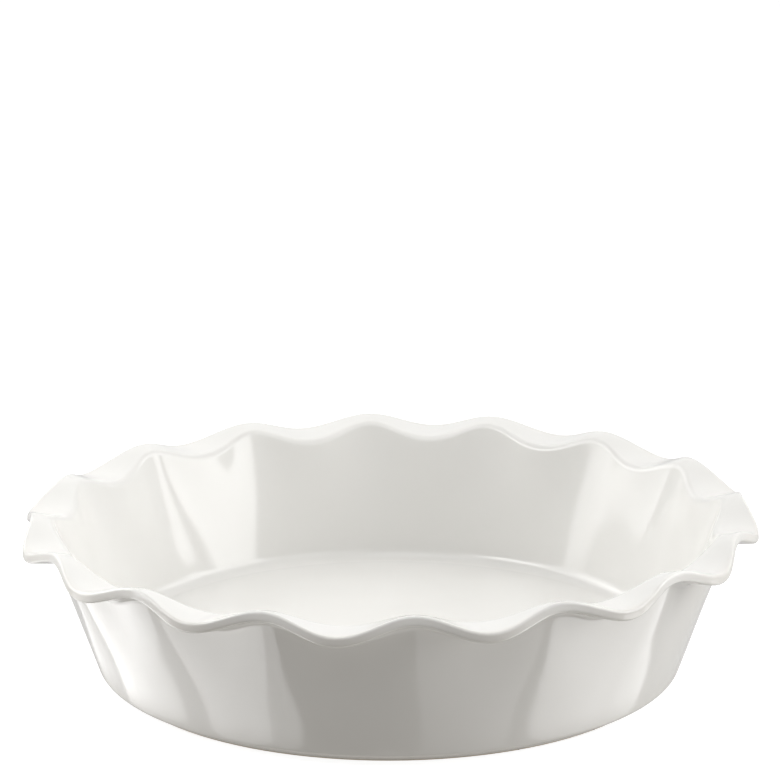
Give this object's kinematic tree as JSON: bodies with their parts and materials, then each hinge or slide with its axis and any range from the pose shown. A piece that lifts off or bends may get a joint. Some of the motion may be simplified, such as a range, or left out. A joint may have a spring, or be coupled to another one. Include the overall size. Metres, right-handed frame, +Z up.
{
  "type": "pie dish",
  "caption": "Round glazed stoneware pie dish with a leaning wall, a flared ruffled rim and a low foot ring.",
  "frame": {"origin": "centre of the face the dish stands on", "axes": "+Z up out of the dish; a trough of the ruffle lies on each of +X, -X, +Y and -Y"},
  "size_m": [0.264, 0.264, 0.0614],
  "materials": {
    "bare_clay": "matte",
    "white_glaze": "gloss"
  },
  "bodies": {
    "root": {"clay_body": "bare_clay", "glaze_coat": "white_glaze", "underside_glaze": "white_glaze"}
  },
  "joints": []
}
